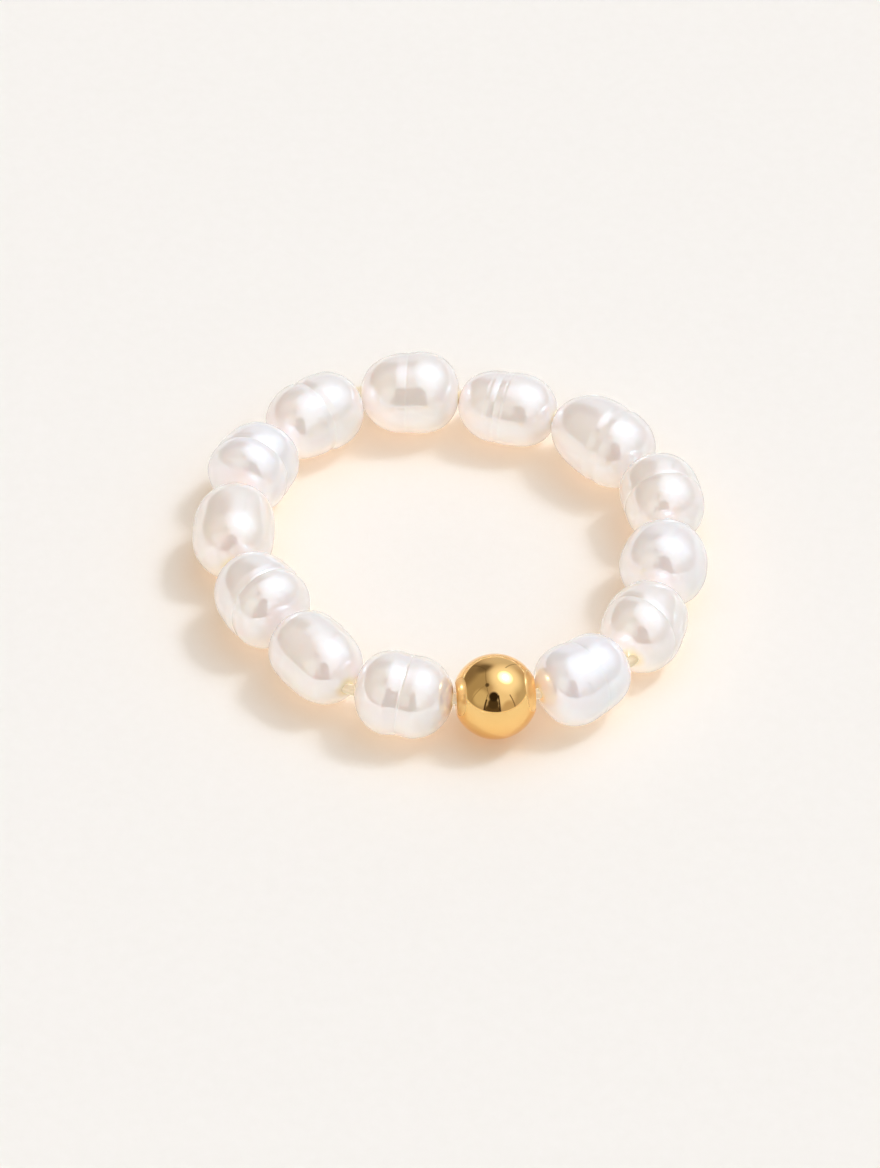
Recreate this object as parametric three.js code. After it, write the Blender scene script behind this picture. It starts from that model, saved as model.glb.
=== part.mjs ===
// A stretch finger ring: thirteen off-round freshwater pearls and one polished gold ball, each
// drilled through and strung end to end on a closed loop of clear elastic cord. The ring lies
// flat with every bead resting on z = 0. +Z is up, the origin is under the middle of the ring,
// and the gold ball is at the front, towards -Y. Lengths are millimetres, angles are degrees.
import * as THREE from 'three';

// Driving dimensions
const BALL_GIRTH = 4;
const BALL_FLAT = 1.58; // across the flat face at each end of the ball
const DRILL = 1; // bore of every bead
const LIP = 0.07; // from the bore to where a pearl's skin starts
const CORD = 0.5; // thickness of the elastic cord
const CLEARANCE = 0.05; // between neighbouring beads where they come closest
const LOBE_BLEND = 0.35; // share of a half pearl over which one lobe runs into the other

// Facets
const BEAD_SIDES = 16;
const BEAD_BANDS = 11;
const CORD_SIDES = 8;
const CORD_STEPS_PER_BEAD = 6;
const CORD_STRAIGHT = 0.75; // how far inside a bore the cord starts to bend

// The string, counter-clockwise from the gold ball. Bead after bead starts at a knot of the
// string, at angle `at` and distance `reach` from the middle, and ends at the next bead's knot.
//   girth   across its thickest section    fullness  2 is an ellipse, more has blunter ends
//   taper   how much fatter the far end is groove    place of its growth groove, from -1 to 1
//   depth   of the groove                  width     half the width of the groove
//   step    the far lobe stands out        rise      the far lobe stands up
const STRING = [
  { name: 'gold_ball', at: -89.0, reach: 10.30, girth: BALL_GIRTH, fullness: 2 },
  { name: 'pearl_01', at: -67.7, reach: 10.76, girth: 3.79, fullness: 3.15, taper: -0.09,
    groove: 0.26, depth: 0.04, width: 0.30, step: -0.20, rise: 0.03 },
  { name: 'pearl_02', at: -42.8, reach: 11.58, girth: 3.89, fullness: 2.65, taper: -0.03,
    groove: 0.30, depth: 0.04, width: 0.25, step: 0.12, rise: -0.05 },
  { name: 'pearl_03', at: -18.5, reach: 10.31, girth: 4.13, fullness: 2.30, taper: -0.12,
    groove: 0.40, depth: 0.00, width: 0.30, step: 0.00, rise: 0.00 },
  { name: 'pearl_04', at: 4.8, reach: 10.70, girth: 3.87, fullness: 2.95, taper: 0.01,
    groove: 0.26, depth: 0.06, width: 0.30, step: -0.08, rise: 0.08 },
  { name: 'pearl_05', at: 29.7, reach: 11.23, girth: 3.95, fullness: 2.55, taper: -0.07,
    groove: 0.00, depth: 0.08, width: 0.45, step: 0.15, rise: 0.00 },
  { name: 'pearl_06', at: 59.9, reach: 10.46, girth: 3.60, fullness: 2.80, taper: -0.02,
    groove: 0.05, depth: 0.07, width: 0.50, step: 0.08, rise: 0.02 },
  { name: 'pearl_07', at: 87.2, reach: 10.60, girth: 4.00, fullness: 2.70, taper: -0.06,
    groove: 0.05, depth: 0.06, width: 0.30, step: -0.10, rise: -0.03 },
  { name: 'pearl_08', at: 112.7, reach: 11.79, girth: 3.80, fullness: 2.85, taper: -0.04,
    groove: 0.00, depth: 0.08, width: 0.50, step: 0.13, rise: 0.00 },
  { name: 'pearl_09', at: 139.0, reach: 11.37, girth: 3.98, fullness: 3.40, taper: 0.08,
    groove: -0.10, depth: 0.07, width: 0.35, step: 0.15, rise: -0.05 },
  { name: 'pearl_10', at: 161.2, reach: 10.77, girth: 3.92, fullness: 2.80, taper: 0.01,
    groove: -0.50, depth: 0.00, width: 0.30, step: 0.08, rise: -0.02 },
  { name: 'pearl_11', at: 189.0, reach: 10.48, girth: 4.08, fullness: 2.90, taper: 0.07,
    groove: -0.16, depth: 0.10, width: 0.35, step: 0.03, rise: 0.00 },
  { name: 'pearl_12', at: 216.6, reach: 9.44, girth: 3.77, fullness: 2.90, taper: -0.06,
    groove: -0.30, depth: 0.03, width: 0.50, step: -0.06, rise: -0.03 },
  { name: 'pearl_13', at: 244.3, reach: 10.75, girth: 4.01, fullness: 2.70, taper: -0.05,
    groove: 0.08, depth: 0.09, width: 0.28, step: 0.07, rise: -0.05 },
];

const gold = new THREE.MeshStandardMaterial({ color: 0xd79b3a, roughness: 0.08, metalness: 1 });
const nacre = new THREE.MeshStandardMaterial({ color: 0xf3ebe4, roughness: 0.2, metalness: 0 });
const clearElastic = new THREE.MeshStandardMaterial({ color: 0xd6dac6, roughness: 0.25 });

// Where the string bends, which way each bead points from there, and half the bend
const { cos, sin, tan, PI } = Math;
const follower = (index) => (index + 1) % STRING.length;
const leader = (index) => (index + STRING.length - 1) % STRING.length;
const knots = STRING.map(({ at, reach }) => {
  const angle = THREE.MathUtils.degToRad(at);
  return new THREE.Vector3(reach * cos(angle), reach * sin(angle), 0);
});
const spans = knots.map((knot, index) => knots[follower(index)].clone().sub(knot));
const halfBends = spans.map((span, index) => span.angleTo(spans[leader(index)]) / 2);

const isBall = (bead) => bead.name === 'gold_ball';
const faceRadius = (bead) => (isBall(bead) ? BALL_FLAT / 2 : DRILL / 2 + LIP);

// A bead keeps to its own side of the plane that halves the bend of the string. This is how far
// its end face stays from the knot: the face's edge or the round of its shoulder decides.
function endRoom(bead, length, halfBend) {
  const face = faceRadius(bead);
  const shoulder = bead.fullness * (bead.girth / 2) ** 2 / length;
  const edge = face * tan(halfBend);
  const round = shoulder * tan(halfBend) ** 2 / 2 + face ** 2 / (2 * shoulder);
  const touchesOnEdge = shoulder * tan(halfBend) < face;
  return (touchesOnEdge ? edge : round) + CLEARANCE / 2 / cos(halfBend);
}

// A bead's place: its middle, its half length and the angle of its bore
function seat(bead, index) {
  const span = spans[index];
  const length = span.length();
  const startRoom = endRoom(bead, length, halfBends[index]);
  const endRoomLeft = endRoom(bead, length, halfBends[follower(index)]);
  const middle = (length + startRoom - endRoomLeft) / 2;
  const halfBall = Math.sqrt(bead.girth ** 2 - BALL_FLAT ** 2) / 2;
  return {
    place: knots[index].clone().addScaledVector(span, middle / length),
    half: isBall(bead) ? halfBall : (length - startRoom - endRoomLeft) / 2,
    heading: Math.atan2(span.y, span.x),
  };
}

// The skin's sections from one end face to the other, each a distance along the bead and a
// radius. Equal steps of the angle put them closer together where the ends turn in.
function skinSections(bead, half) {
  const faceAngle = Math.asin(faceRadius(bead) / (bead.girth / 2));
  const power = 2 / bead.fullness;
  const endShare = cos(faceAngle) ** power;
  const sectionAt = (angle) => {
    const along = half * Math.sign(cos(angle)) * Math.abs(cos(angle)) ** power / endShare;
    return { along: -along, radius: bead.girth / 2 * sin(angle) };
  };
  const step = (PI - 2 * faceAngle) / BEAD_BANDS;
  const angles = Array.from({ length: BEAD_BANDS + 1 }, (_, band) => faceAngle + band * step);
  if (isBall(bead)) return angles.map(sectionAt);

  const groove = bead.groove * half;
  const clearOfGroove = ({ along }) => Math.abs(along - groove) > 1.3 * bead.width;
  const inGroove = [-1, 0, 1].map((side) => {
    const along = groove + side * bead.width;
    const share = Math.abs(along / half) * endShare;
    return { along, radius: bead.girth / 2 * Math.sqrt(1 - share ** bead.fullness) };
  });
  const sections = [...angles.map(sectionAt).filter(clearOfGroove), ...inGroove];
  return sections.sort((a, b) => a.along - b.along).map(({ along, radius }) => {
    const away = Math.min(Math.abs(along - groove) / bead.width, 1);
    const cut = bead.depth * (1 + cos(PI * away)) / 2;
    return { along, radius: radius * (1 + bead.taper * along / half) - cut };
  });
}

// One turned bead about its bore, along Y, with its flats facing straight up and down
function beadGeometry(bead, half) {
  const outOfRound = 1 / cos(PI / BEAD_SIDES); // the flats, not the corners, keep the true radius
  const profile = skinSections(bead, half).map(({ along, radius }) => (
    new THREE.Vector2(radius * outOfRound, along)));
  const bore = DRILL / 2 * outOfRound;
  profile.push(new THREE.Vector2(bore, half), new THREE.Vector2(bore, -half), profile[0].clone());
  const geometry = new THREE.LatheGeometry(profile, BEAD_SIDES, PI / BEAD_SIDES);

  const points = geometry.getAttribute('position');
  for (let i = 0; i < points.count; i += 1) {
    const onBore = Math.hypot(points.getX(i), points.getZ(i)) < bore * 1.01;
    if (!isBall(bead) && !onBore) {
      const share = points.getY(i) / half;
      const side = THREE.MathUtils.clamp((share - bead.groove) / LOBE_BLEND, -1, 1);
      const lobe = side * (3 - side * side) / 4 * (1 - share ** 4);
      points.setX(i, points.getX(i) + bead.step * lobe);
      points.setZ(i, points.getZ(i) + bead.rise * lobe);
    }
  }
  geometry.computeVertexNormals();
  geometry.computeBoundingBox();
  return geometry;
}

function makeBead(bead, index) {
  const { place, half, heading } = seat(bead, index);
  const mesh = new THREE.Mesh(beadGeometry(bead, half), isBall(bead) ? gold : nacre);
  mesh.name = bead.name;
  mesh.position.set(place.x, place.y, -mesh.geometry.boundingBox.min.z);
  mesh.rotation.z = heading - PI / 2;
  return mesh;
}

// The cord runs straight through each bore and bends round from one to the next
function makeCord(beads) {
  const stops = beads.flatMap((mesh, index) => {
    const { half, heading } = seat(STRING[index], index);
    const along = new THREE.Vector3(cos(heading), sin(heading), 0);
    const straight = half - CORD_STRAIGHT;
    return [-straight, 0, straight].map((way) => mesh.position.clone().addScaledVector(along, way));
  });
  const loop = new THREE.CatmullRomCurve3(stops, true, 'centripetal');
  const steps = STRING.length * CORD_STEPS_PER_BEAD;
  const mesh = new THREE.Mesh(new THREE.TubeGeometry(loop, steps, CORD / 2, CORD_SIDES, true),
    clearElastic);
  mesh.name = 'elastic_cord';
  return mesh;
}

const ring = new THREE.Group();
const beads = STRING.map(makeBead);
ring.add(...beads, makeCord(beads));

// The origin goes under the middle of the ring's outline
const extent = new THREE.Box3().setFromObject(ring, true);
const middle = extent.getCenter(new THREE.Vector3());
ring.position.set(-middle.x, -middle.y, -extent.min.z);

const part = new THREE.Group();
part.add(ring);

export default part;
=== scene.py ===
# A stretch finger ring of thirteen freshwater pearls and one polished gold ball, strung end to
# end on clear elastic cord and laid flat on a pale table. Every length is in metres unless its
# name or its table says mm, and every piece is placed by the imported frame.
import math

import bpy
from mathutils import Matrix, Vector


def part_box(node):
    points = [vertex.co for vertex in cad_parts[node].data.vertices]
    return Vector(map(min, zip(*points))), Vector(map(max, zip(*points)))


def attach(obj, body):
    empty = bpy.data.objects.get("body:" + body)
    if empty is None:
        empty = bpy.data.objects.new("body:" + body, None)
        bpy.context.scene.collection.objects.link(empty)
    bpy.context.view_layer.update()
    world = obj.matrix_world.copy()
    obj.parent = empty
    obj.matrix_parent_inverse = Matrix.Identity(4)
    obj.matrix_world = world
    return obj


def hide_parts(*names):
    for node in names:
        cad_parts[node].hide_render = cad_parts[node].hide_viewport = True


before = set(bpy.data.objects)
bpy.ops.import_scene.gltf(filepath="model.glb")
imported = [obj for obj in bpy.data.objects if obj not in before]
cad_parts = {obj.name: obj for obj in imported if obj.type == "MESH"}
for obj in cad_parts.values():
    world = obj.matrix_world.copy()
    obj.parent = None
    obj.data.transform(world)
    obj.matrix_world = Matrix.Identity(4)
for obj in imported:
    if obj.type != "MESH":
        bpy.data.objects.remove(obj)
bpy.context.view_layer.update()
scene = bpy.context.scene
scene.view_settings.view_transform = "Standard"
MM = 0.001

# ---------------------------------------------------------------------------------------------
# The camera: a long lens on a tripod, looking down at the ring from straight in front, and from
# far enough away that the back beads look hardly smaller than the front ones.
# ---------------------------------------------------------------------------------------------
CAMERA_ELEVATION = math.radians(44.4)
CAMERA_DISTANCE = 257.85 * MM
CAMERA_AIM = Vector((-0.44, -2.99, 2.0)) * MM
CAMERA_LENS_MM = 167.97
CAMERA_SENSOR_MM = 36
CAMERA_NEAREST = 10 * MM  # nothing closer to the lens than this shows
towards_camera = Vector((0, -math.cos(CAMERA_ELEVATION), math.sin(CAMERA_ELEVATION)))
camera = bpy.data.objects.new("camera", bpy.data.cameras.new("camera"))
camera.data.lens = CAMERA_LENS_MM
camera.data.sensor_width = CAMERA_SENSOR_MM
camera.data.clip_start = CAMERA_NEAREST
camera.location = CAMERA_AIM + CAMERA_DISTANCE * towards_camera
camera.rotation_euler = (math.pi / 2 - CAMERA_ELEVATION, 0, 0)
scene.collection.objects.link(camera)
scene.camera = camera

# ---------------------------------------------------------------------------------------------
# The table: a large sheet of warm white matt card. It is made of pressed fibre, so its own colour
# hardly changes from place to place and it has no shine. Shade is painted on it round the beads.
# ---------------------------------------------------------------------------------------------
TABLE_WIDTH = 6.0
TABLE_COLOUR = "#F9F5EF"
TABLE_FIBRE_COLOUR = "#F6F2EB"
# Painted shade: the card's colour turns to this where the beads hide it from the room
TABLE_PAINTED_SHADE_COLOUR = "#EEE3D4"
SHADE_REACH_MM = 12
FULL_SHADE = 0.5  # how open to the room the table is where its shade is deepest
NO_SHADE = 0.95  # and where it has none
SHADE_SAMPLES = 8
FIBRE_GRAIN_MM = 0.6


def linear(colour):
    """A colour given in sRGB hex, as the linear colour that a shader works in."""
    shares = [int(colour[place:place + 2], 16) / 255 for place in (1, 3, 5)]
    return [s / 12.92 if s <= 0.04045 else ((s + 0.055) / 1.055) ** 2.4 for s in shares] + [1]


def add(tree, kind, inputs=(), **settings):
    """Adds a node. Its inputs, by place or by name, are values, sockets or other nodes."""
    node = tree.nodes.new(kind)
    for name, value in settings.items():
        setattr(node, name, value)
    pairs = inputs.items() if isinstance(inputs, dict) else enumerate(inputs)
    for key, value in pairs:
        if isinstance(value, bpy.types.Node):
            value = next(socket for socket in value.outputs if socket.enabled)
        if isinstance(value, bpy.types.NodeSocket):
            tree.links.new(value, node.inputs[key])
        elif value is not None:
            node.inputs[key].default_value = value
    return node


def new_material(name):
    """An empty material, and its tree."""
    material = bpy.data.materials.new(name)
    material.use_nodes = True
    material.node_tree.nodes.clear()
    return material, material.node_tree


card, tree = new_material("matt_white_card")
place = add(tree, "ShaderNodeTexCoord").outputs["Object"]
fibre = add(tree, "ShaderNodeTexNoise", {"Vector": place, "Scale": 1 / (FIBRE_GRAIN_MM * MM)})
tone = add(tree, "ShaderNodeMix",
           {0: fibre, 6: linear(TABLE_COLOUR), 7: linear(TABLE_FIBRE_COLOUR)}, data_type="RGBA")
# Painted shade: where the beads hide the card from the room, its colour turns to a warm shade.
# It stands for the light that reaches the card there through nacre and off gold.
openness = add(tree, "ShaderNodeAmbientOcclusion", {"Distance": SHADE_REACH_MM * MM},
               samples=SHADE_SAMPLES).outputs["AO"]
openness = add(tree, "ShaderNodeMapRange",
               {"Value": openness, "From Min": FULL_SHADE, "From Max": NO_SHADE})
tone = add(tree, "ShaderNodeMix", {0: openness, 6: linear(TABLE_PAINTED_SHADE_COLOUR), 7: tone},
           data_type="RGBA")
surface = add(tree, "ShaderNodeBsdfPrincipled",
              {"Base Color": tone, "Roughness": 0.9, "Specular IOR Level": 0.1})
add(tree, "ShaderNodeOutputMaterial", {"Surface": surface})

half_table = TABLE_WIDTH / 2
table_mesh = bpy.data.meshes.new("table")
table_mesh.from_pydata([(-half_table, -half_table, 0), (half_table, -half_table, 0),
                        (half_table, half_table, 0), (-half_table, half_table, 0)],
                       [], [(0, 1, 2, 3)])
table_mesh.materials.append(card)
table = bpy.data.objects.new("table", table_mesh)
scene.collection.objects.link(table)

# ---------------------------------------------------------------------------------------------
# The studio: one round softbox high at the back right, fills that light only the table or only
# the ring, and the beige room round the table, which the polished ball and the pearls mirror.
# A bearing is in degrees: azimuth from the back (+Y) towards the right (+X), then elevation.
# ---------------------------------------------------------------------------------------------
LAMP_WIDTH = 14  # how wide the softbox looks from the ring, in degrees
# Each lamp: bearing, colour and strength. The key light comes from lower than the softbox's
# mirrored face, because its longer shadows are the right ones for this table.
KEY = ((63.8, 53.7), "#DDE8F5", 1.05)
TABLE_FILL = ((0, 90), "#FFEAD9", 1.11)
RING_FILLS = {
    "ring_fill_above": ((0, 90), "#FFF4EF", 1.27),
    "ring_fill_left": ((-120, 14), "#FFF4EF", 1.3),
    "ring_fill_right": ((140, 12), "#FFF4EF", 0.3),
    "under_fill": ((0, -90), "#FFEEC2", 0.5),  # what the warm table throws back up at the beads
    "front_fill": ((180, -35), "#D3EDFF", 0.95),
}
ROOM_COLOUR = "#C2B5AE"
ROOM_LIGHT = "#C9D3D9"  # how much of each colour of the room lights matt surfaces
PALE = "#FBF8F3"  # the table as the ring mirrors it, and what lies beyond the table
TABLE_EDGE_ELEVATION = 3.0
TABLE_EDGE_SOFTNESS = 0.5
# Each round patch: azimuth, elevation, radius, softness of its edge, colour and brightness
ROOM_PATCHES = {
    "ceiling": (-90, 90, 24, 18, "#D3CAC8", 1.0),
    "left wall": (-90, 28, 50, 14, "#ABA293", 1.0),
    "left wall, near end": (-132, 30, 20, 7, "#D0CABC", 1.0),
    "left wall, far end": (-47, 14, 20, 18, "#83786B", 1.0),
    "far corner": (-26, 40, 8, 14, "#6F665C", 1.0),
    "lamp on the left wall": (-118, 66, 5, 2, "#5A5146", 1.0),
    "back wall": (10, 16, 22, 14, "#D3D0D1", 1.0),
    "right wall": (84, 14, 30, 12, "#C0BAB3", 1.0),
    "front wall": (146, 44, 26, 14, "#F0ECEA", 1.0),
    "front wall, low": (144, 12, 14, 6, "#C7BAAC", 1.0),
    "softbox, wide glow": (66, 62, 29, 21, "#F2F4FA", 1.25),
    "softbox, glow": (63.8, 63.6, 13, 8, "#F2F7FF", 3.6),
    "stand, low": (-173, 6, 20, 3, "#5A4E3C", 1.0),
    "stand": (-174, 26, 14, 3, "#4A4032", 1.0),
    "camera": (-174, 45, 12.5, 3, "#30281F", 1.0),
}
SOFTBOX_FACE = (63.8, 63.6, 6, 2, "#F2F7FF", 16.0)
# Each upright stands on the table's edge: azimuth, elevation of its top, half width and colour
UPRIGHTS = {
    "fold of the left wall": (-112, 62, 0.9, "#A09684"),
    "left leg of the stand": (-152, 34, 2.0, "#4A4032"),
    "right leg of the stand": (168, 48, 2.0, "#3A3126"),
    "lamp stand": (128, 38, 1.3, "#7A7066"),
    "corner of the back wall": (27, 42, 1.0, "#A8A29C"),
}
UPRIGHT_SOFTNESS = 0.5  # share of its half width, to either side of its edge
# The left wall's ends and top, on a plane one unit to the left
WALL_END = 1.73
WALL_TOP = 2.36
SEAM_WIDTH = 0.05
SEAM_SOFTNESS = 0.6  # share of the seam's width, to either side of its edge
SEAM_COLOUR = "#5C5246"
LEAST_LEFT = 0.001  # keeps the plane's coordinates finite on every other side of the room


def direction(azimuth, elevation):
    """The unit vector that points that way."""
    a, e = math.radians(azimuth), math.radians(elevation)
    return Vector((math.cos(e) * math.sin(a), math.cos(e) * math.cos(a), math.sin(e)))


def sun(name, bearing, colour, strength, only_lights=None):
    """A far lamp. One that only lights some objects is a fill, and casts no shadow."""
    lamp = bpy.data.objects.new(name, bpy.data.lights.new(name, "SUN"))
    lamp.data.energy = strength
    lamp.data.color = linear(colour)[:3]
    lamp.data.angle = math.radians(LAMP_WIDTH)
    lamp.data.use_shadow = only_lights is None
    lamp.visible_glossy = False
    lamp.light_linking.receiver_collection = only_lights
    lamp.rotation_euler = direction(*bearing).to_track_quat("Z", "Y").to_euler()
    scene.collection.objects.link(lamp)


table_alone = bpy.data.collections.new("table_alone")
table_alone.objects.link(table)
ring_alone = bpy.data.collections.new("ring_alone")
sun("key", *KEY)
sun("table_fill", *TABLE_FILL, table_alone)
for name, fill in RING_FILLS.items():
    sun(name, *fill, ring_alone)

MATH = "ShaderNodeMath"
world = bpy.data.worlds.new("studio")
scene.world = world
world.cycles.sampling_method = "NONE"  # so that matt surfaces get the cast light below
world.use_nodes = True
tree = world.node_tree
tree.nodes.clear()
towards = add(tree, "ShaderNodeTexCoord").outputs["Generated"]
way = add(tree, "ShaderNodeSeparateXYZ", [towards]).outputs


def patched(under, azimuth, elevation, radius, softness, colour, brightness):
    """The room with one more round patch of light or shade on it."""
    nearness = add(tree, "ShaderNodeVectorMath", (towards, direction(azimuth, elevation)),
                   operation="DOT_PRODUCT").outputs["Value"]
    share = add(tree, "ShaderNodeMapRange",
                {"Value": nearness,
                 "From Min": math.cos(math.radians(radius + softness)),
                 "From Max": math.cos(math.radians(max(radius - softness, 0)))},
                interpolation_type="SMOOTHSTEP")
    patch = [brightness * part for part in linear(colour)[:3]] + [1]
    return add(tree, "ShaderNodeMix", {0: share, 6: under, 7: patch}, data_type="RGBA")


room = linear(ROOM_COLOUR)
for patch in ROOM_PATCHES.values():
    room = patched(room, *patch)

# The seams at the ends and the top of the left wall
leftwards = add(tree, MATH, (way["X"], -1), operation="MULTIPLY")
leftwards = add(tree, MATH, (leftwards, LEAST_LEFT), operation="MAXIMUM")
across = add(tree, MATH, (add(tree, MATH, (way["Y"],), operation="ABSOLUTE"), leftwards),
             operation="DIVIDE")
upwards = add(tree, MATH, (way["Z"], leftwards), operation="DIVIDE")
seam = 0
for measure, line, other, limit in ((across, WALL_END, upwards, WALL_TOP),
                                    (upwards, WALL_TOP, across, WALL_END)):
    off = add(tree, MATH, (measure, line), operation="SUBTRACT")
    off = add(tree, MATH, (off,), operation="ABSOLUTE")
    near = add(tree, "ShaderNodeMapRange",
               {"Value": off,
                "From Min": (1 - SEAM_SOFTNESS) * SEAM_WIDTH,
                "From Max": (1 + SEAM_SOFTNESS) * SEAM_WIDTH,
                "To Min": 1, "To Max": 0})
    within = add(tree, MATH, (other, limit + SEAM_WIDTH), operation="LESS_THAN")
    seam = add(tree, MATH, (seam, add(tree, MATH, (near, within), operation="MULTIPLY")),
               operation="MAXIMUM")
room = add(tree, "ShaderNodeMix", {0: seam, 6: room, 7: linear(SEAM_COLOUR)}, data_type="RGBA")

# The uprights, each seen only on its own side of the room
for azimuth, top, half_width, colour in UPRIGHTS.values():
    off = add(tree, "ShaderNodeVectorMath", (towards, direction(azimuth + 90, 0)),
              operation="DOT_PRODUCT").outputs["Value"]
    off = add(tree, MATH, (off,), operation="ABSOLUTE")
    reach = math.sin(math.radians(half_width))
    near = add(tree, "ShaderNodeMapRange",
               {"Value": off,
                "From Min": (1 - UPRIGHT_SOFTNESS) * reach,
                "From Max": (1 + UPRIGHT_SOFTNESS) * reach,
                "To Min": 1, "To Max": 0})
    facing = add(tree, "ShaderNodeVectorMath", (towards, direction(azimuth, 0)),
                 operation="DOT_PRODUCT").outputs["Value"]
    facing = add(tree, MATH, (facing, 0), operation="GREATER_THAN")
    below = add(tree, MATH, (way["Z"], math.sin(math.radians(top))), operation="LESS_THAN")
    near = add(tree, MATH, (near, facing), operation="MULTIPLY")
    near = add(tree, MATH, (near, below), operation="MULTIPLY")
    room = add(tree, "ShaderNodeMix", {0: near, 6: room, 7: linear(colour)}, data_type="RGBA")

# The pale table fills the room up to its edge
above_table = add(tree, "ShaderNodeMapRange",
                  {"Value": way["Z"],
                   "From Min": direction(0, TABLE_EDGE_ELEVATION - TABLE_EDGE_SOFTNESS).z,
                   "From Max": direction(0, TABLE_EDGE_ELEVATION + TABLE_EDGE_SOFTNESS).z})
room = add(tree, "ShaderNodeMix", {0: above_table, 6: linear(PALE), 7: room}, data_type="RGBA")

# Gloss mirrors the softbox's face too, matt surfaces get a cooler room, and the camera sees past
# the table's edge only more of the same pale colour
mirrored = patched(room, *SOFTBOX_FACE)
cast = add(tree, "ShaderNodeMix", {0: 1, 6: room, 7: linear(ROOM_LIGHT)},
           data_type="RGBA", blend_type="MULTIPLY")
path = add(tree, "ShaderNodeLightPath").outputs
lighting = add(tree, "ShaderNodeMix", {0: path["Is Diffuse Ray"], 6: mirrored, 7: cast},
               data_type="RGBA")
shown = add(tree, "ShaderNodeMix", {0: path["Is Camera Ray"], 6: lighting, 7: linear(PALE)},
            data_type="RGBA")
background = add(tree, "ShaderNodeBackground", {"Color": shown})
add(tree, "ShaderNodeOutputWorld", {"Surface": background})

# ---------------------------------------------------------------------------------------------
# The string: where each bead sits. Bead after bead starts at a knot of the string and ends at
# the next bead's knot, and the gold ball's place in the frame fixes where the string lies.
# ---------------------------------------------------------------------------------------------
BALL_RADIUS = 2 * MM
BALL_FACE = 0.79 * MM  # radius of the flat face round each end of the ball's bore
BORE = 0.252 * MM  # radius of every bore, just wider than the cord
PEARL_FACE = 0.57 * MM  # radius at which a pearl comes closest to its neighbour
GAP = 0.05 * MM

# Each bead, in degrees and mm: angle and distance of its knot, then girth, bluntness (2 is an
# ellipse) and taper, the place from -1 to 1 where its lobes meet, and how far the far lobe stands
# out and up
STRING = {
    "gold_ball": (-89.0, 10.30, 4.00, 2.00, 0, 0, 0, 0),
    "pearl_01": (-67.7, 10.76, 3.88, 3.00, -0.07, 0.10, -0.20, 0.10),
    "pearl_02": (-42.8, 11.58, 3.89, 2.65, -0.03, 0.30, 0.12, -0.05),
    "pearl_03": (-18.5, 10.31, 4.13, 2.30, -0.12, 0.40, 0.00, 0.00),
    "pearl_04": (4.8, 10.70, 3.87, 2.95, 0.01, 0.26, -0.08, 0.08),
    "pearl_05": (29.7, 11.23, 3.95, 2.55, -0.07, 0.00, 0.15, 0.00),
    "pearl_06": (59.9, 10.46, 3.60, 2.80, -0.02, 0.05, -0.08, -0.03),
    "pearl_07": (87.2, 10.60, 4.00, 2.70, -0.06, 0.05, -0.10, -0.03),
    "pearl_08": (112.7, 11.79, 3.80, 2.85, -0.04, 0.00, 0.13, 0.00),
    "pearl_09": (139.0, 11.37, 3.98, 3.40, 0.08, -0.10, 0.15, -0.05),
    "pearl_10": (161.2, 10.77, 3.92, 2.80, 0.01, -0.50, 0.08, -0.02),
    "pearl_11": (189.0, 10.48, 4.08, 2.90, 0.07, -0.16, 0.03, 0.00),
    "pearl_12": (216.6, 9.44, 3.77, 2.90, -0.06, -0.30, -0.06, -0.03),
    "pearl_13": (244.3, 10.75, 4.01, 2.70, -0.05, 0.08, 0.07, -0.05),
}
beads = list(STRING)
knots = [Vector((distance * math.cos(math.radians(angle)),
                 distance * math.sin(math.radians(angle)), 0)) * MM
         for angle, distance, *_ in STRING.values()]
spans = [knots[(i + 1) % len(knots)] - knots[i] for i in range(len(knots))]
half_bends = [spans[i].angle(spans[i - 1]) / 2 for i in range(len(spans))]


def end_room(bead, length, half_bend):
    """How far a bead's end face stays from the knot: its edge or its shoulder decides."""
    girth, bluntness = STRING[bead][2] * MM, STRING[bead][3]
    face = BALL_FACE if bead == "gold_ball" else PEARL_FACE
    shoulder = bluntness * (girth / 2) ** 2 / length
    turn = math.tan(half_bend)
    if shoulder * turn < face:
        room_needed = face * turn
    else:
        room_needed = shoulder * turn ** 2 / 2 + face ** 2 / (2 * shoulder)
    return room_needed + GAP / 2 / math.cos(half_bend)


def seat(number):
    """A bead's middle, half its length, and the way its bore points."""
    bead, span = beads[number], spans[number]
    length = span.length
    start = end_room(bead, length, half_bends[number])
    end = end_room(bead, length, half_bends[(number + 1) % len(beads)])
    middle = knots[number] + span * ((length + start - end) / 2 / length)
    half = (length - start - end) / 2
    if bead == "gold_ball":
        half = math.sqrt(BALL_RADIUS ** 2 - BALL_FACE ** 2)
    return middle, half, math.atan2(span.y, span.x)


low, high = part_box("gold_ball")
string_shift = (low + high) / 2 - seat(0)[0]
string_shift.z = 0

# ---------------------------------------------------------------------------------------------
# The gold ball: a 4 mm brass bead, drilled through, gold plated and polished to a mirror. Its
# drilled ends are flat, with a softly rounded edge, and it turns freely on the cord.
# ---------------------------------------------------------------------------------------------
BALL_MOUTH_BEVEL = 0.03 * MM
BALL_EDGE_ROUND = 0.07 * MM  # how far inside its rim a face starts to round over
BALL_EDGE_MIDDLE = 0.45  # share of that, where the edge has come up by the next size
BALL_EDGE_RISE = 0.002 * MM
BALL_RIM_OUT = 0.012 * MM  # past the sphere's first row, along the bore
BALL_RIM_IN = 0.008 * MM  # and towards it
BALL_FIRST_ROW = 0.03  # angle between the face's rim and the sphere's first row, in radians
BALL_SIDES = 128
BALL_ROWS = 96
BALL_GOLD = "#FFD58E"
BALL_GOLD_WORN = "#FBCE83"
BALL_HAZE_SIZE = 1.0 * MM
BALL_PIT_SPACING = 0.9 * MM
BALL_PIT_DEPTH = 0.01 * MM

gold, tree = new_material("polished_gold_plate")
place = add(tree, "ShaderNodeTexCoord").outputs["Object"]
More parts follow.
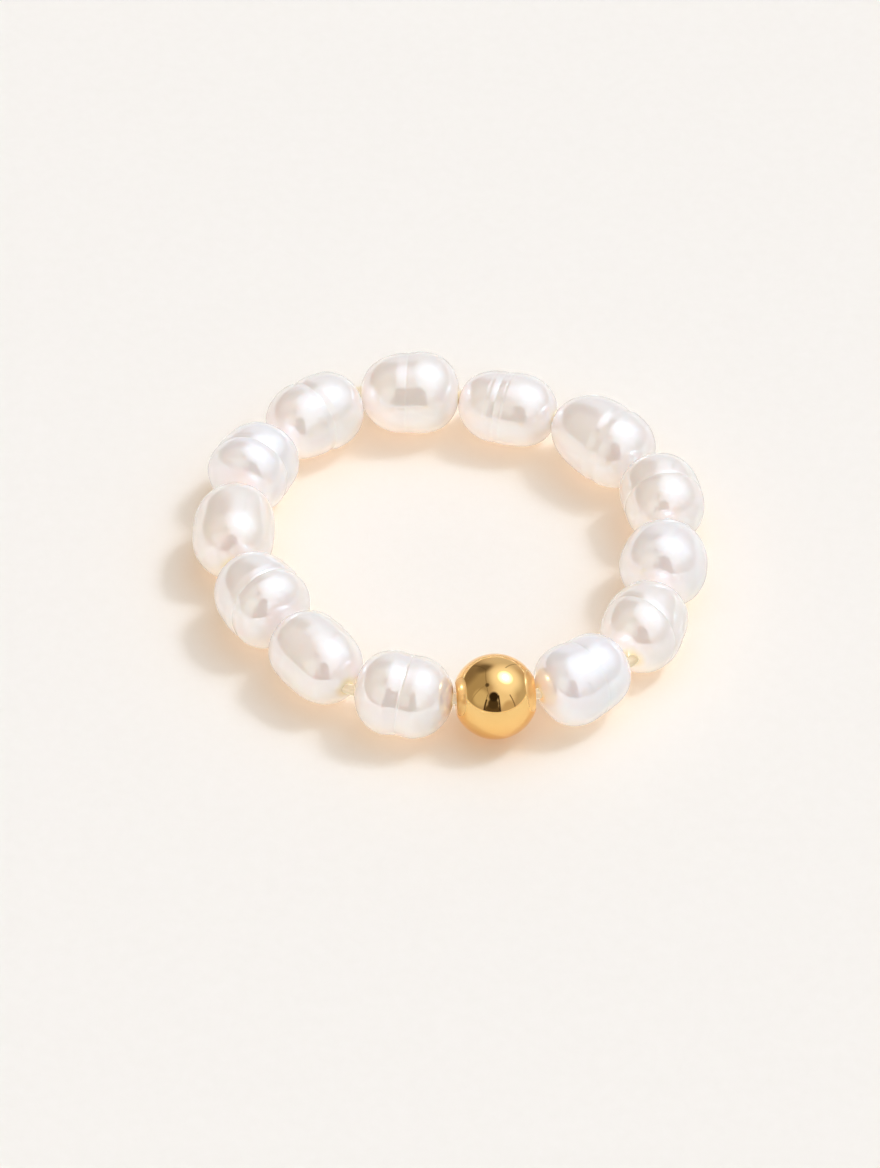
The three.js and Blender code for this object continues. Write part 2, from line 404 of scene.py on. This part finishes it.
# Polished plate is a sharp, deep yellow mirror. Handling leaves patches of faint haze on it, and
# the plating a few fine pits.
haze = add(tree, "ShaderNodeTexNoise", {"Vector": place, "Scale": 1 / BALL_HAZE_SIZE, "Detail": 4})
roughness = add(tree, "ShaderNodeMapRange",
                {"Value": haze, "From Min": 0.3, "From Max": 0.7, "To Min": 0.03, "To Max": 0.06})
tone = add(tree, "ShaderNodeMix", {0: haze, 6: linear(BALL_GOLD), 7: linear(BALL_GOLD_WORN)},
           data_type="RGBA")
pits = add(tree, "ShaderNodeTexVoronoi", {"Vector": place, "Scale": 1 / BALL_PIT_SPACING})
pit = add(tree, "ShaderNodeMapRange",
          {"Value": pits.outputs["Distance"], "From Min": 0.01, "From Max": 0.03})
relief = add(tree, "ShaderNodeBump",
             {"Height": pit, "Strength": 0.3, "Distance": BALL_PIT_DEPTH})
surface = add(tree, "ShaderNodeBsdfPrincipled",
              {"Base Color": tone, "Metallic": 1, "Roughness": roughness, "Normal": relief})
add(tree, "ShaderNodeOutputMaterial", {"Surface": surface})


def ball_profile(half):
    """Distance along the bore and radius of each row, from one end of the bore to the other."""
    start = math.asin(BALL_FACE / BALL_RADIUS) + BALL_FIRST_ROW
    rows = []
    for row in range(BALL_ROWS + 1):
        angle = start + (math.pi - 2 * start) * row / BALL_ROWS
        rows.append((-BALL_RADIUS * math.cos(angle), BALL_RADIUS * math.sin(angle)))
    first_along, first_radius = rows[0]
    first = [(-half + BALL_MOUTH_BEVEL, BORE),
             (-half, BORE + BALL_MOUTH_BEVEL),
             (-half, BALL_FACE - BALL_EDGE_ROUND),
             (-half - BALL_EDGE_RISE, BALL_FACE - BALL_EDGE_ROUND * BALL_EDGE_MIDDLE),
             (first_along - BALL_RIM_OUT, (first_radius + BALL_FACE) / 2 - BALL_RIM_IN)]
    last = [(-along, radius) for along, radius in reversed(first)]
    return first + rows + last


def turned(name, profile, sides):
    """A closed mesh, turned about Y from a profile that starts and ends in the bore."""
    vertices = [(radius * math.sin(2 * math.pi * side / sides), along,
                 radius * math.cos(2 * math.pi * side / sides))
                for along, radius in profile for side in range(sides)]
    faces = []
    for row in range(len(profile)):
        ahead = (row + 1) % len(profile)
        for side in range(sides):
            beside = (side + 1) % sides
            faces.append((row * sides + side, ahead * sides + side,
                          ahead * sides + beside, row * sides + beside))
    mesh = bpy.data.meshes.new(name)
    mesh.from_pydata(vertices, [], faces)
    mesh.shade_smooth()
    return mesh


middle, half, heading = seat(0)
ball_mesh = turned("gold_bead", ball_profile(half), BALL_SIDES)
ball_mesh.materials.append(gold)
ball = bpy.data.objects.new("gold_bead", ball_mesh)
scene.collection.objects.link(ball)
ring_alone.objects.link(ball)
ball_mesh.transform(Matrix.Translation(middle + string_shift + Vector((0, 0, BALL_RADIUS)))
                    @ Matrix.Rotation(heading - math.pi / 2, 4, "Z"))
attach(ball, "root")
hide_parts("gold_ball")

# ---------------------------------------------------------------------------------------------
# The pearls: white freshwater pearls, off-round, grown in a mussel and drilled lengthways. Each
# has its own waist where two lobes meet, fine growth rings and soft dents, and is held only by
# the cord through its bore.
# ---------------------------------------------------------------------------------------------
SKIN_ROWS = 192
SKIN_SIDES = 144
ROW_CROWDING = 1.35  # above 0, rows crowd towards the ends, where a pearl turns in
LOBE_BLEND = 0.35  # share of half a pearl over which one lobe runs into the other
END_FADE = 4  # a higher power fades the lobes and dents closer to the ends
RINGS = 4  # the most rings and waists that a pearl has
NARROW_RING = 0.13 * MM  # a ring with less than this half width flakes the skin
DENT_SIZE_MM = 1.6
CLOUD_SIZE_MM = 1.8
RIPPLE_SIZE_MM = 0.35
PIT_SPACING_MM = 1.3
SKIN_RELIEF = 0.006 * MM
WELD = 0.0001 * MM
NACRE_SILVER = "#F6F0F1"
NACRE_CREAM = "#FCEADE"
NACRE_ROSE = "#FAE0DC"
NACRE_FLAKED = "#FFF8EE"  # where a growth ring breaks the skin
# Painted glow round each drilled end: its colour, and how far from the bore it reaches
DRILLED_END_PAINTED_GLOW = "#F8DDB2"
PAINTED_GLOW_FROM_MM = 0.24  # from the middle of the bore to where its tint starts to fade
PAINTED_GLOW_TO_MM = 0.7
NACRE_MIRROR = "#DCF2FF"  # its thin layers throw back more blue than red
NACRE_LAYERS_IOR = 3.6  # far above nacre's own 1.6, because light comes back from many layers
NACRE_SKIN_IOR = 2.0  # of the outermost one, which is the sharpest mirror
RIPPLE_SHARE = 0.12  # height of the ripples, where a pit is 1 deep
RING_DULLNESS = 0.15  # how much rougher the skin is where a ring has flaked it

# Layer on layer of nacre gives a sharp mirror on the skin, a soft one under it, and a milky body
# that light runs through. Patterns follow the place on the pearl's own skin, in mm.
nacre, tree = new_material("freshwater_nacre")
skin = add(tree, "ShaderNodeAttribute", attribute_name="skin").outputs["Vector"]
character = add(tree, "ShaderNodeAttribute", attribute_name="character").outputs["Vector"]
clouds = add(tree, "ShaderNodeTexNoise", {"Vector": skin, "Scale": 1 / CLOUD_SIZE_MM, "Detail": 2})
warmth, haze, ring_mark = add(tree, "ShaderNodeSeparateXYZ", [character]).outputs
body = add(tree, "ShaderNodeMix", {0: warmth, 6: linear(NACRE_SILVER), 7: linear(NACRE_CREAM)},
           data_type="RGBA")
clouds = add(tree, "ShaderNodeMapRange",
             {"Value": clouds, "From Min": 0.45, "From Max": 0.7, "To Max": 0.45})
body = add(tree, "ShaderNodeMix", {0: clouds, 6: body, 7: linear(NACRE_ROSE)}, data_type="RGBA")
# Painted glow: the nacre is painted yellower round each drilled end, for the light that glows
# through from the bore
from_bore = add(tree, "ShaderNodeVectorMath", (skin, (1, 0, 1)), operation="MULTIPLY")
from_bore = add(tree, "ShaderNodeVectorMath", (from_bore,), operation="LENGTH").outputs["Value"]
drilled = add(tree, "ShaderNodeMapRange",
              {"Value": from_bore, "From Min": PAINTED_GLOW_FROM_MM, "From Max": PAINTED_GLOW_TO_MM,
               "To Min": 1, "To Max": 0},
              interpolation_type="SMOOTHSTEP")
body = add(tree, "ShaderNodeMix", {0: drilled, 6: body, 7: linear(DRILLED_END_PAINTED_GLOW)},
           data_type="RGBA")
# A growth ring shows as a fine pale line, broken in places
ripples = add(tree, "ShaderNodeTexNoise",
              {"Vector": skin, "Scale": 1 / RIPPLE_SIZE_MM, "Detail": 3})
broken = add(tree, "ShaderNodeMapRange",
             {"Value": ripples, "From Min": 0.35, "From Max": 0.65, "To Min": 0.1, "To Max": 0.4})
flaked = add(tree, MATH, (ring_mark, broken), operation="MULTIPLY")
body = add(tree, "ShaderNodeMix", {0: flaked, 6: body, 7: linear(NACRE_FLAKED)},
           data_type="RGBA")
# The inner mirror is hazier in some patches than in others, and dull along a ring
uneven = add(tree, "ShaderNodeMapRange",
             {"Value": ripples, "From Min": 0.3, "From Max": 0.7, "To Min": -0.02, "To Max": 0.02})
roughness = add(tree, MATH, (haze, uneven), operation="ADD")
roughness = add(tree, MATH, (flaked, RING_DULLNESS, roughness), operation="MULTIPLY_ADD")
# Fine ripples, and a few small pits
pits = add(tree, "ShaderNodeTexVoronoi",
           {"Vector": skin, "Scale": 1 / PIT_SPACING_MM}).outputs["Distance"]
pit = add(tree, "ShaderNodeMapRange", {"Value": pits, "From Min": 0.02, "From Max": 0.06})
height = add(tree, MATH, (ripples, RIPPLE_SHARE, pit), operation="MULTIPLY_ADD")
relief = add(tree, "ShaderNodeBump",
             {"Height": height, "Strength": 0.6, "Distance": SKIN_RELIEF})
surface = add(tree, "ShaderNodeBsdfPrincipled",
              {"Base Color": body, "Roughness": roughness, "Normal": relief,
               "IOR": NACRE_LAYERS_IOR, "Specular Tint": linear(NACRE_MIRROR),
               "Subsurface Weight": 0.7, "Subsurface Radius": (0.8, 0.65, 0.55),
               "Subsurface Scale": 1.0 * MM,
               "Coat Weight": 0.8, "Coat IOR": NACRE_SKIN_IOR, "Coat Roughness": 0.05})
add(tree, "ShaderNodeOutputMaterial", {"Surface": surface})


def new_shape(name, inputs, output):
    """A geometry tree with those inputs: the tree, their identifiers, and the inputs' sockets."""
    tree = bpy.data.node_groups.new(name, "GeometryNodeTree")
    identifiers = {}
    for label, kind in inputs:
        socket = tree.interface.new_socket(label, in_out="INPUT", socket_type=f"NodeSocket{kind}")
        identifiers[label] = socket.identifier
    tree.interface.new_socket(output, in_out="OUTPUT", socket_type="NodeSocketGeometry")
    return tree, identifiers, add(tree, "NodeGroupInput").outputs


pearl_inputs = [
    ("Half Length", "Float"), ("Half Girth", "Float"), ("Bluntness", "Float"),
    ("End Share", "Float"), ("Taper", "Float"), ("Bore", "Float"),
    ("Lobe Place", "Float"), ("Lobe Out", "Float"), ("Lobe Up", "Float"),
    ("Dent Depth", "Float"), ("Seed", "Float"), ("Heading", "Float"), ("Place", "Vector"),
    ("Warmth", "Float"), ("Haze", "Float"), ("Skin Material", "Material"),
]
for ring in range(1, RINGS + 1):
    for value in ("Place", "Depth", "Half Width", "Lean", "Lean Side"):
        pearl_inputs.append((f"Ring {ring} {value}", "Float"))
pearl_tree, pearl_sockets, given = new_shape("drilled_pearl", pearl_inputs, "Pearl")
tree = pearl_tree

# A grid becomes the skin: along it the bead's rows, across it once round the bead. The first row
# and the last two lie in the bore, and the last comes back to meet the first and close the bead.
grid = add(tree, "GeometryNodeMeshGrid",
           {"Size X": SKIN_ROWS + 2, "Size Y": 2 * math.pi,
            "Vertices X": SKIN_ROWS + 3, "Vertices Y": SKIN_SIDES + 1})
spot = add(tree, "ShaderNodeSeparateXYZ", [add(tree, "GeometryNodeInputPosition")])
row = add(tree, MATH, (spot.outputs["X"], (SKIN_ROWS + 2) / 2), operation="ADD")
evenly = add(tree, "ShaderNodeMapRange",
             {"Value": row, "From Min": 1, "From Max": SKIN_ROWS, "To Min": -1, "To Max": 1})
closing = add(tree, MATH, (row, SKIN_ROWS + 1.5), operation="GREATER_THAN")
evenly = add(tree, MATH, (closing, -2, evenly), operation="MULTIPLY_ADD")
crowded = add(tree, MATH, (evenly, ROW_CROWDING), operation="MULTIPLY")
crowded = add(tree, MATH, (crowded,), operation="SINE")
share = add(tree, MATH, (crowded, math.sin(ROW_CROWDING)), operation="DIVIDE")
along = add(tree, MATH, (share, given["Half Length"]), operation="MULTIPLY")
from_middle = add(tree, MATH, (row, (SKIN_ROWS + 1) / 2), operation="SUBTRACT")
from_middle = add(tree, MATH, (from_middle,), operation="ABSOLUTE")
in_bore = add(tree, MATH, (from_middle, SKIN_ROWS / 2), operation="GREATER_THAN")

# The section's radius: a blunt ellipse with a taper
blunt = add(tree, MATH, (share,), operation="ABSOLUTE")
blunt = add(tree, MATH, (blunt, given["End Share"]), operation="MULTIPLY")
blunt = add(tree, MATH, (blunt, given["Bluntness"]), operation="POWER")
blunt = add(tree, MATH, (1, blunt), operation="SUBTRACT")
blunt = add(tree, MATH, (blunt,), operation="SQRT")
round_radius = add(tree, MATH, (blunt, given["Half Girth"]), operation="MULTIPLY")
tapered = add(tree, MATH, (share, given["Taper"], 1), operation="MULTIPLY_ADD")
radius = add(tree, MATH, (round_radius, tapered), operation="MULTIPLY")

# Growth rings: each is a cut round the bead, deepest in its middle, that may lean to one side
around = spot.outputs["Y"]
ring_mark = 0
for ring in range(1, RINGS + 1):
    side = add(tree, MATH, (around, given[f"Ring {ring} Lean Side"]), operation="SUBTRACT")
    side = add(tree, MATH, (side,), operation="COSINE")
    side = add(tree, MATH, (side, round_radius), operation="MULTIPLY")
    leaning = add(tree, MATH, (side, given[f"Ring {ring} Lean"], along), operation="MULTIPLY_ADD")
    centre = add(tree, MATH, (given[f"Ring {ring} Place"], given["Half Length"]),
                 operation="MULTIPLY")
    away = add(tree, MATH, (leaning, centre), operation="SUBTRACT")
    away = add(tree, MATH, (away,), operation="ABSOLUTE")
    away = add(tree, MATH, (away, given[f"Ring {ring} Half Width"]), operation="DIVIDE")
    away = add(tree, MATH, (away, 1), operation="MINIMUM")
    away = add(tree, MATH, (away, math.pi), operation="MULTIPLY")
    wave = add(tree, MATH, (away,), operation="COSINE")
    cut = add(tree, MATH, (wave, 0.5, 0.5), operation="MULTIPLY_ADD")
    deep = add(tree, MATH, (cut, given[f"Ring {ring} Depth"]), operation="MULTIPLY")
    radius = add(tree, MATH, (radius, deep), operation="SUBTRACT")
    narrow = add(tree, MATH, (given[f"Ring {ring} Half Width"], NARROW_RING),
                 operation="LESS_THAN")
    mark = add(tree, MATH, (cut, narrow), operation="MULTIPLY")
    ring_mark = add(tree, MATH, (ring_mark, mark), operation="MAXIMUM")

# Soft dents and swellings, which fade to nothing round the drilled ends
across_way = add(tree, MATH, (around,), operation="COSINE")
up_way = add(tree, MATH, (around,), operation="SINE")
across = add(tree, MATH, (across_way, round_radius), operation="MULTIPLY")
upwards = add(tree, MATH, (up_way, round_radius), operation="MULTIPLY")
plain = add(tree, "ShaderNodeCombineXYZ", (across, along, upwards))
plain = add(tree, "ShaderNodeVectorMath", (plain, (1 / MM, 1 / MM, 1 / MM)),
            operation="MULTIPLY")
dents = add(tree, "ShaderNodeTexNoise",
            {"Vector": plain, "W": given["Seed"], "Scale": 1 / DENT_SIZE_MM, "Detail": 1.5},
            noise_dimensions="4D")
ends = add(tree, MATH, (share, END_FADE), operation="POWER")
skin_share = add(tree, MATH, (1, ends), operation="SUBTRACT")
swell = add(tree, MATH, (dents, 0.5), operation="SUBTRACT")
swell = add(tree, MATH, (swell, given["Dent Depth"]), operation="MULTIPLY")
radius = add(tree, MATH, (swell, skin_share, radius), operation="MULTIPLY_ADD")
radius = add(tree, "ShaderNodeMix", {0: in_bore, 2: radius, 3: given["Bore"]})

# The far lobe stands out and up from the near one, and both fade to nothing at the ends. The
# change from one to the other is smooth: side * (3 - side squared) / 4.
lobe_start = add(tree, MATH, (given["Lobe Place"], LOBE_BLEND), operation="SUBTRACT")
lobe_end = add(tree, MATH, (given["Lobe Place"], LOBE_BLEND), operation="ADD")
side = add(tree, "ShaderNodeMapRange", {"Value": share, "From Min": lobe_start,
                                        "From Max": lobe_end, "To Min": -1, "To Max": 1})
squared = add(tree, MATH, (side, side), operation="MULTIPLY")
bend = add(tree, MATH, (squared, -0.25, 0.75), operation="MULTIPLY_ADD")
lobe = add(tree, MATH, (side, bend), operation="MULTIPLY")
lobe = add(tree, MATH, (lobe, skin_share), operation="MULTIPLY")
across = add(tree, MATH, (across_way, radius), operation="MULTIPLY")
across = add(tree, MATH, (lobe, given["Lobe Out"], across), operation="MULTIPLY_ADD")
upwards = add(tree, MATH, (up_way, radius), operation="MULTIPLY")
upwards = add(tree, MATH, (lobe, given["Lobe Up"], upwards), operation="MULTIPLY_ADD")
shaped = add(tree, "ShaderNodeCombineXYZ", (across, along, upwards))

# What the nacre's finish reads: the place on the skin in mm, and the pearl's own character
skin_in_mm = add(tree, "ShaderNodeVectorMath", (shaped, (1 / MM, 1 / MM, 1 / MM)),
                 operation="MULTIPLY")
pearl = add(tree, "GeometryNodeStoreNamedAttribute",
            {"Geometry": grid, "Name": "skin", "Value": skin_in_mm},
            data_type="FLOAT_VECTOR", domain="POINT")
character = add(tree, "ShaderNodeCombineXYZ", (given["Warmth"], given["Haze"], ring_mark))
pearl = add(tree, "GeometryNodeStoreNamedAttribute",
            {"Geometry": pearl, "Name": "character", "Value": character},
            data_type="FLOAT_VECTOR", domain="POINT")
pearl = add(tree, "GeometryNodeSetPosition", {"Geometry": pearl, "Position": shaped})
pearl = add(tree, "GeometryNodeMergeByDistance", {"Geometry": pearl, "Distance": WELD})
pearl = add(tree, "GeometryNodeFlipFaces", {"Mesh": pearl})

# The pearl turns to its place on the string and lies on the table
turned_by = add(tree, "ShaderNodeCombineXYZ", (0, 0, given["Heading"]))
pearl = add(tree, "GeometryNodeTransform",
            {"Geometry": pearl, "Translation": given["Place"], "Rotation": turned_by})
level = add(tree, "ShaderNodeSeparateXYZ", [add(tree, "GeometryNodeInputPosition")])
lowest = add(tree, "GeometryNodeAttributeStatistic",
             {"Geometry": pearl, "Attribute": level.outputs["Z"]}).outputs["Min"]
lift = add(tree, MATH, (0, lowest), operation="SUBTRACT")
lift = add(tree, "ShaderNodeCombineXYZ", (0, 0, lift))
pearl = add(tree, "GeometryNodeSetPosition", {"Geometry": pearl, "Offset": lift})
pearl = add(tree, "GeometryNodeSetShadeSmooth", {"Geometry": pearl})
pearl = add(tree, "GeometryNodeRealizeInstances", {"Geometry": pearl})
pearl = add(tree, "GeometryNodeSetMaterial",
            {"Geometry": pearl, "Material": given["Skin Material"]})
add(tree, "NodeGroupOutput", {"Pearl": pearl})


def grown_piece(name, start, tree, identifiers, sizes):
    """A piece with the plain mesh that a geometry tree makes from its start and those sizes."""
    piece = bpy.data.objects.new(name, start)
    scene.collection.objects.link(piece)
    growth = piece.modifiers.new("growth", "NODES")
    growth.node_group = tree
    for size, value in sizes.items():
        growth[identifiers[size]] = value
    evaluated = piece.evaluated_get(bpy.context.evaluated_depsgraph_get())
    mesh = bpy.data.meshes.new_from_object(evaluated)
    piece.modifiers.remove(growth)
    piece.data = mesh
    return piece


# Each pearl: warmth (0 silver, 1 cream), how rough its inner mirror is, seed, depth of its dents
# in mm, then its waists and growth rings: place from -1 to 1, depth and half width in mm, lean,
# and the side it leans to in degrees
CHARACTER = {
    "pearl_01": (0.2, 0.11, 1, 0.05, [(0.0, 0.010, 0.30, 0.24, -169),
                                      (0.0, 0.010, 0.09, 0.24, -169)]),
    "pearl_02": (0.85, 0.10, 2, 0.05, [(-0.28, 0.025, 0.40, 0.37, -37),
                                       (-0.28, 0.016, 0.09, 0.37, -37)]),
    "pearl_03": (0.5, 0.12, 3, 0.05, []),
    "pearl_04": (0.85, 0.12, 4, 0.05, [(-0.10, 0.014, 0.30, 0.05, -80),
                                       (-0.10, 0.016, 0.10, 0.05, -80)]),
    "pearl_05": (0.7, 0.15, 5, 0.06, [(-0.20, 0.060, 0.45, 0.03, 149)]),
    "pearl_06": (0.7, 0.16, 6, 0.06, [(0.12, 0.035, 0.45, 0, 0), (-0.02, 0.010, 0.12, 0, 0),
                                      (0.13, 0.012, 0.12, 0, 0), (0.30, 0.012, 0.14, 0, 0)]),
    "pearl_07": (0.8, 0.17, 7, 0.05, [(0.05, 0.030, 0.60, 0, 0), (0.05, 0.006, 0.09, 0, 0)]),
    "pearl_08": (0.7, 0.15, 8, 0.06, [(0.04, 0.055, 0.40, 0, 0), (0.04, 0.010, 0.09, 0, 0)]),
    "pearl_09": (0.35, 0.19, 9, 0.06, [(0.25, 0.035, 0.42, 0.18, 96),
                                       (0.25, 0.018, 0.09, 0.18, 96)]),
    "pearl_10": (1.0, 0.19, 10, 0.05, []),
    "pearl_11": (0.7, 0.10, 11, 0.05, [(0.25, 0.065, 0.50, 0.12, 74),
                                       (0.25, 0.030, 0.10, 0.12, 74)]),
    "pearl_12": (0.8, 0.10, 12, 0.05, [(-0.30, 0.015, 0.50, 0, 0)]),
    "pearl_13": (0.8, 0.10, 13, 0.05, [(0.02, 0.085, 0.75, 0.13, -33),
                                       (0.02, 0.030, 0.08, 0.13, -33)]),
}
NO_RING = (0, 0, 1, 0, 0)  # a ring with no depth
bores = [(BALL_RADIUS, seat(0)[1])]  # height of each bead's bore, and half its length
for number, bead in enumerate(beads):
    if bead == "gold_ball":
        continue
    _, _, girth, bluntness, taper, lobe_place, lobe_out, lobe_up = STRING[bead]
    warmth, haze, seed, dent, rings = CHARACTER[bead]
    middle, half, heading = seat(number)
    # The seat is that of a pearl with a flat face: its skin runs on to the edge of the bore
    end_share = (1 - (2 * BORE / (girth * MM)) ** 2) ** (1 / bluntness)
    half *= end_share / (1 - (2 * PEARL_FACE / (girth * MM)) ** 2) ** (1 / bluntness)
    sizes = {
        "Half Length": half, "Half Girth": girth / 2 * MM, "Bluntness": bluntness,
        "End Share": end_share, "Taper": taper, "Bore": BORE, "Lobe Place": lobe_place,
        "Lobe Out": lobe_out * MM, "Lobe Up": lobe_up * MM,
        "Dent Depth": dent * MM, "Seed": float(seed),
        "Heading": heading - math.pi / 2, "Place": middle + string_shift,
        "Warmth": warmth, "Haze": haze, "Skin Material": nacre,
    }
    rings = rings + [NO_RING] * (RINGS - len(rings))
    for ring, (ring_place, depth, half_width, lean, lean_side) in enumerate(rings, 1):
        sizes[f"Ring {ring} Place"] = float(ring_place)
        sizes[f"Ring {ring} Depth"] = depth * MM
        sizes[f"Ring {ring} Half Width"] = half_width * MM
        sizes[f"Ring {ring} Lean"] = float(lean)
        sizes[f"Ring {ring} Lean Side"] = math.radians(lean_side)
    name = f"freshwater_{bead}"
    pearl = grown_piece(name, bpy.data.meshes.new(name), pearl_tree, pearl_sockets, sizes)
    pearl.data.name = name
    skin_place = pearl.data.attributes["skin"].data[0].vector
    bores.append((pearl.data.vertices[0].co.z - skin_place.z * MM, half))
    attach(pearl, "root")
    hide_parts(bead)
    ring_alone.objects.link(pearl)

# ---------------------------------------------------------------------------------------------
# The cord: clear stretch elastic of thermoplastic polyurethane, 0.5 mm thick, drawn as one
# fibre and tied in a closed loop, with its knot hidden in a bore. It runs straight through each
# bore, bends in the gap, and shows there as a pale glint.
# ---------------------------------------------------------------------------------------------
CORD_RADIUS = 0.25 * MM
CORD_SIDES = 16
CORD_STEPS = 3  # from one stop to the next
CORD_STOPS = 5  # each way from the middle of a bead to the mouth of its bore
CORD_COLOUR = "#E6DDC8"
DRAW_LINE = 0.12 * MM  # fine marks of the die, drawn this coarse to show
DRAW_LINE_DEPTH = 0.01 * MM

# Clear polyurethane is slightly milky, and the marks of drawing blur its gloss
elastic, tree = new_material("clear_drawn_polyurethane")
place = add(tree, "ShaderNodeTexCoord").outputs["Object"]
draw_lines = add(tree, "ShaderNodeTexNoise", {"Vector": place, "Scale": 1 / DRAW_LINE})
relief = add(tree, "ShaderNodeBump",
             {"Height": draw_lines, "Strength": 0.2, "Distance": DRAW_LINE_DEPTH})
roughness = add(tree, "ShaderNodeMapRange", {"Value": draw_lines, "To Min": 0.25, "To Max": 0.4})
surface = add(tree, "ShaderNodeBsdfPrincipled",
              {"Base Color": linear(CORD_COLOUR), "Roughness": roughness, "IOR": 1.5,
               "Transmission Weight": 0.6, "Normal": relief})
add(tree, "ShaderNodeOutputMaterial", {"Surface": surface})

cord_tree, cord_sockets, given = new_shape(
    "cord_through_stops",
    (("Stops", "Geometry"), ("Radius", "Float"), ("Sides", "Int"), ("Steps", "Int"),
     ("Cord Material", "Material")),
    "Cord")
tree = cord_tree
path = add(tree, "GeometryNodeMeshToCurve", {"Mesh": given["Stops"]})
path = add(tree, "GeometryNodeCurveSplineType", {"Curve": path}, spline_type="CATMULL_ROM")
path = add(tree, "GeometryNodeSetSplineResolution",
           {"Geometry": path, "Resolution": given["Steps"]})
section = add(tree, "GeometryNodeCurvePrimitiveCircle",
              {"Resolution": given["Sides"], "Radius": given["Radius"]})
cord = add(tree, "GeometryNodeCurveToMesh", {"Curve": path, "Profile Curve": section})
cord = add(tree, "GeometryNodeSetShadeSmooth", {"Geometry": cord})
cord = add(tree, "GeometryNodeRealizeInstances", {"Geometry": cord})
cord = add(tree, "GeometryNodeSetMaterial", {"Geometry": cord, "Material": given["Cord Material"]})
add(tree, "NodeGroupOutput", {"Cord": cord})

stops = []
for number, (bore_height, mouth) in enumerate(bores):
    middle, _, heading = seat(number)
    forwards = Vector((math.cos(heading), math.sin(heading), 0))
    for stop in range(-CORD_STOPS, CORD_STOPS + 1):
        along = mouth * stop / CORD_STOPS
        stops.append(middle + string_shift + Vector((0, 0, bore_height)) + along * forwards)
path_mesh = bpy.data.meshes.new("elastic")
path_mesh.from_pydata(stops, [(i, (i + 1) % len(stops)) for i in range(len(stops))], [])
cord = grown_piece("elastic", path_mesh, cord_tree, cord_sockets,
                   {"Radius": CORD_RADIUS, "Sides": CORD_SIDES, "Steps": CORD_STEPS,
                    "Cord Material": elastic})
ring_alone.objects.link(cord)
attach(cord, "root")
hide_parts("elastic_cord")
